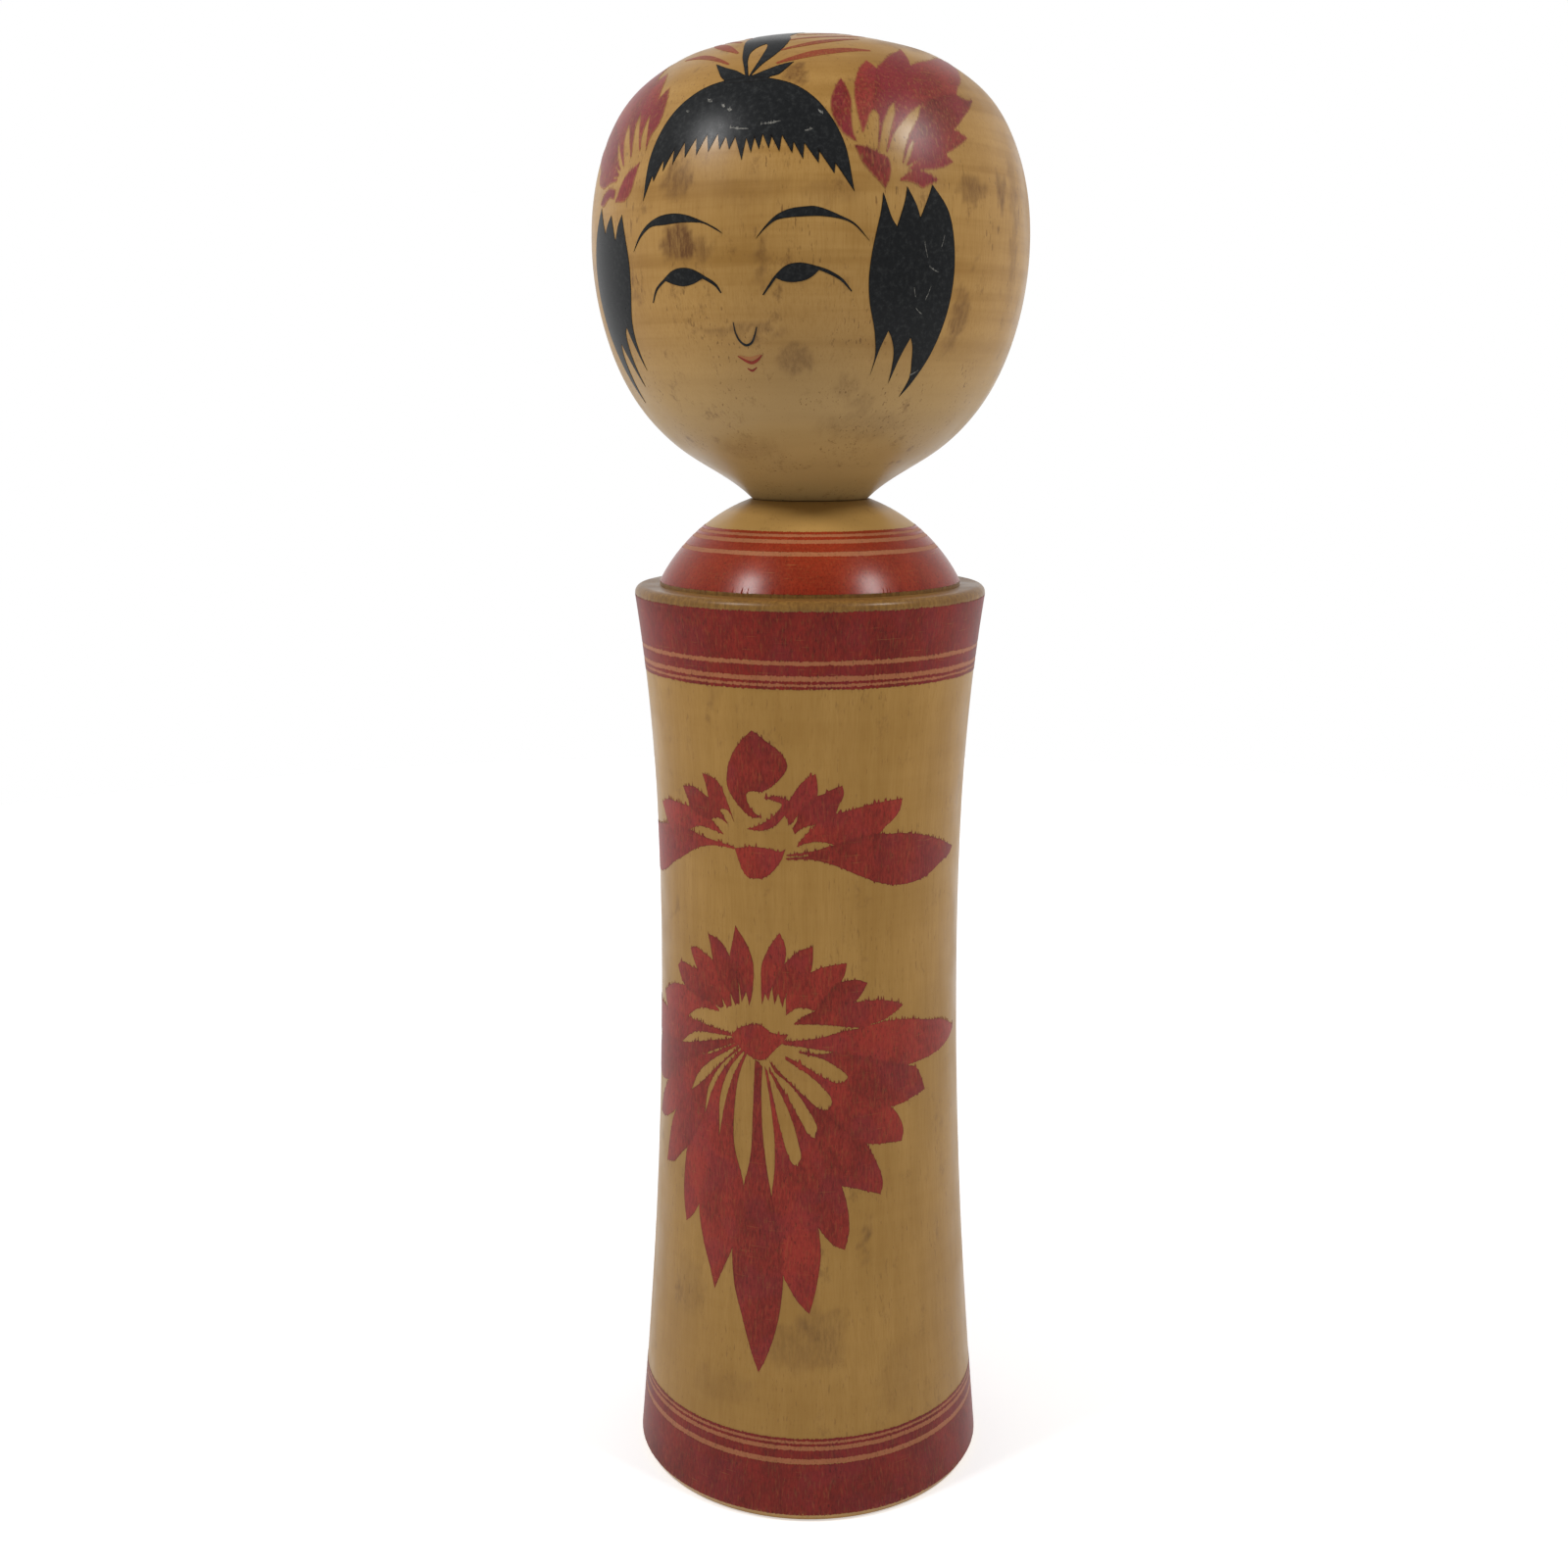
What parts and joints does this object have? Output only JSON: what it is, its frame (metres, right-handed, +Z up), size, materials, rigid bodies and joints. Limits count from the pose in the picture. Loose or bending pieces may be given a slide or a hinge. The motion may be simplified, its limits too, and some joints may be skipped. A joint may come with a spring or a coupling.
{
  "type": "kokeshi doll",
  "caption": "Lathe-turned wooden doll: waisted cylindrical body with a stepped, domed shoulder and a ball head on a captive peg that turns in it.",
  "frame": {"origin": "centre of the flat base that the doll stands on", "axes": "+Z up along the turning axis, -Y the way the painted face and flowers look, +X to the viewer's right"},
  "size_m": [0.0882, 0.0882, 0.303],
  "materials": {
    "body_wood": "aged, waxed dogwood, vertical grain, dye-painted",
    "head_wood": "aged, waxed dogwood, vertical grain, ink-painted",
    "red_dye": "translucent crimson dye on wood, waxed",
    "black_ink": "brushed black ink on wood, waxed"
  },
  "bodies": {
    "body": {"body": "body_wood"},
    "head": {"head": "head_wood"}
  },
  "joints": [
    {"name": "head_turn", "type": "hinge", "parent": "body", "child": "head", "pos_m": [0, 0, 0.2131], "axis": [0, 0, 1], "continuous": true}
  ]
}
